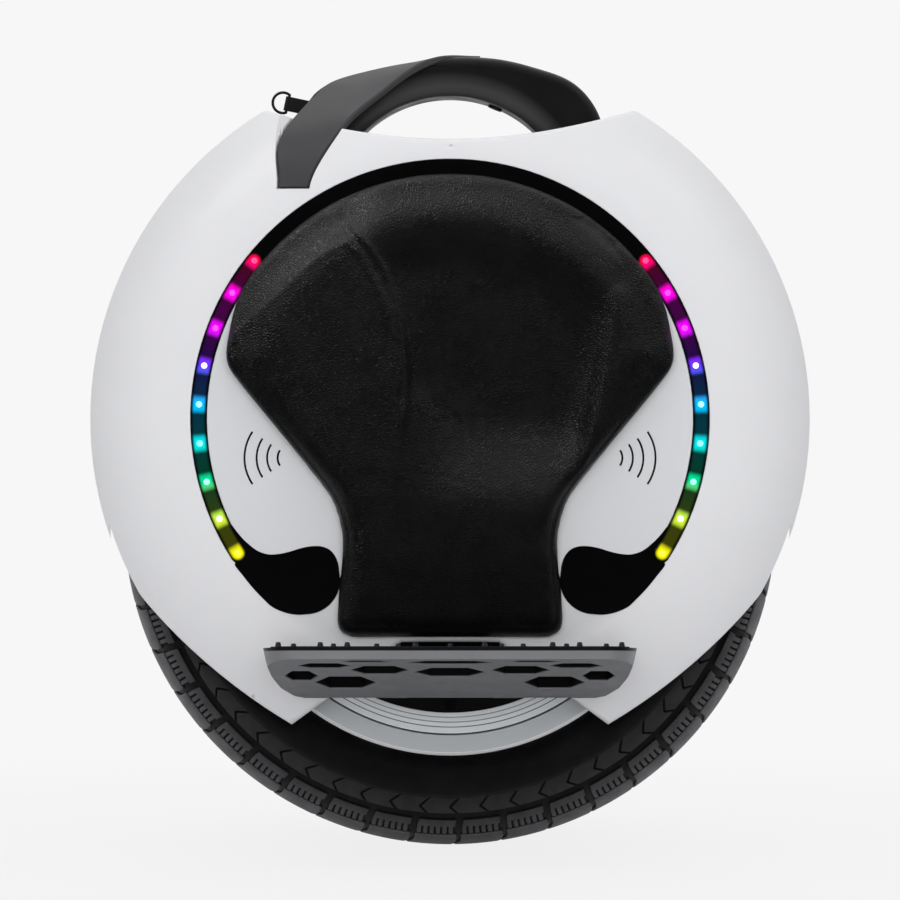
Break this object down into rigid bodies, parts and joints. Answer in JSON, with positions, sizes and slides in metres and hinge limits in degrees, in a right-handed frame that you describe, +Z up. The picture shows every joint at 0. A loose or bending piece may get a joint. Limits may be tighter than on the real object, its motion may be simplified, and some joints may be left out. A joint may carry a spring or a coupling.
{
  "type": "electric unicycle",
  "caption": "One-wheeled self-balancing electric vehicle with white side shells, light rings, leg pads, carry handle, pull-out trolley handle and folding pedals.",
  "frame": {"origin": "on the ground under the tyre, midway between the pedals", "axes": "+Z up, +X the way it rolls, +Y its left-hand side, along the axle"},
  "size_m": [0.451, 0.3512, 0.4994],
  "materials": {
    "tyre_rubber": "matte tread",
    "tube_rubber": "matte",
    "rim_alloy": "blasted with polished edge",
    "cover_black": "satin",
    "steel": "satin",
    "magnet_plate": "plated",
    "laminations": "laminated",
    "copper_wire": "enamelled wire",
    "frame_black": "fine grain",
    "shell_white": "gloss moulding",
    "lens_black": "smoked gloss",
    "led_light": "lit",
    "board_green": "solder mask",
    "pad_cover": "soft grained skin",
    "speaker_black": "matte",
    "pack_wrap": "shrink wrap",
    "sink_alloy": "anodised",
    "clear_lens": "clear",
    "red_lens": "clear red",
    "handle_black": "satin moulding",
    "grip_grey": "satin",
    "tube_alloy": "anodised",
    "pedal_alloy": "satin grey",
    "mat_grit": "gritty sheet",
    "button_red": "satin",
    "cap_rubber": "soft"
  },
  "bodies": {
    "chassis": {"axle": "steel", "stator_core": "laminations", "stator_windings": "copper_wire", "right_axle_nut": "steel", "left_axle_nut": "steel", "right_hanger": "pedal_alloy", "left_hanger": "pedal_alloy", "hanger_screws": "steel", "right_hinge_pin": "steel", "left_hinge_pin": "steel", "wheel_arch": "frame_black", "body_strip": "frame_black", "right_shell": "shell_white", "left_shell": "shell_white", "body_screws": "steel", "right_light_ring": "lens_black", "left_light_ring": "lens_black", "right_leds": "led_light", "left_leds": "led_light", "right_led_board": "board_green", "left_led_board": "board_green", "right_leg_pad": "pad_cover", "left_leg_pad": "pad_cover", "speakers": "speaker_black", "right_battery": "pack_wrap", "left_battery": "pack_wrap", "controller": "speaker_black", "heat_sink": "sink_alloy", "head_light_lens": "clear_lens", "tail_light_lens": "red_lens", "light_boards": "board_green", "carry_handle": "handle_black", "power_switch": "frame_black", "charge_socket": "frame_black", "trolley_sleeve": "tube_alloy", "tether_tab": "handle_black"},
    "wheel": {"tyre": "tyre_rubber", "inner_tube": "tube_rubber", "valve_stem": "steel", "rim": "rim_alloy", "rotor_ring": "steel", "rotor_magnets": "magnet_plate", "cover_screws": "steel", "right_motor_cover": "cover_black", "left_motor_cover": "cover_black", "right_bearing": "steel", "left_bearing": "steel"},
    "right_pedal": {"right_pedal": "pedal_alloy", "right_pedal_mat": "mat_grit", "right_pedal_studs": "steel"},
    "left_pedal": {"left_pedal": "pedal_alloy", "left_pedal_mat": "mat_grit", "left_pedal_studs": "steel"},
    "trolley_middle": {"trolley_middle": "tube_alloy"},
    "trolley_handle": {"trolley_rod": "tube_alloy", "trolley_grip": "grip_grey"},
    "lift_button": {"lift_button": "button_red"},
    "power_button": {"power_button": "handle_black"},
    "charge_cap": {"charge_cap": "cap_rubber"},
    "tether_ring": {"tether_ring": "steel"}
  },
  "joints": [
    {"name": "wheel_spin", "type": "hinge", "parent": "chassis", "child": "wheel", "pos_m": [0, 0, 0.207], "axis": [0, 1, 0], "continuous": true},
    {"name": "right_pedal_fold", "type": "hinge", "parent": "chassis", "child": "right_pedal", "pos_m": [0, -0.084, 0.118], "axis": [-1, 0, 0], "range_deg": [0, 70]},
    {"name": "left_pedal_fold", "type": "hinge", "parent": "chassis", "child": "left_pedal", "pos_m": [0, 0.084, 0.118], "axis": [1, 0, 0], "range_deg": [0, 70]},
    {"name": "trolley_lower_stage", "type": "slide", "parent": "chassis", "child": "trolley_middle", "axis": [0, 0, 1], "range_m": [0, 0.19]},
    {"name": "trolley_upper_stage", "type": "slide", "parent": "trolley_middle", "child": "trolley_handle", "axis": [0, 0, 1], "range_m": [0, 0.19]},
    {"name": "lift_button_press", "type": "slide", "parent": "chassis", "child": "lift_button", "axis": [0.3746, 0, 0.9272], "range_m": [0, 0.0014], "stiffness_N_per_m": 300},
    {"name": "power_button_press", "type": "slide", "parent": "chassis", "child": "power_button", "axis": [-0.6428, 0, -0.766], "range_m": [0, 0.0015], "stiffness_N_per_m": 300},
    {"name": "charge_cap_hinge", "type": "hinge", "parent": "chassis", "child": "charge_cap", "pos_m": [0.16884, 0, 0.4162], "axis": [0, -1, 0], "range_deg": [0, 100]},
    {"name": "tether_ring_hinge", "type": "hinge", "parent": "chassis", "child": "tether_ring", "pos_m": [-0.103, 0, 0.47], "axis": [0.2079, 0, 0.9781], "range_deg": [-80, 80]}
  ]
}
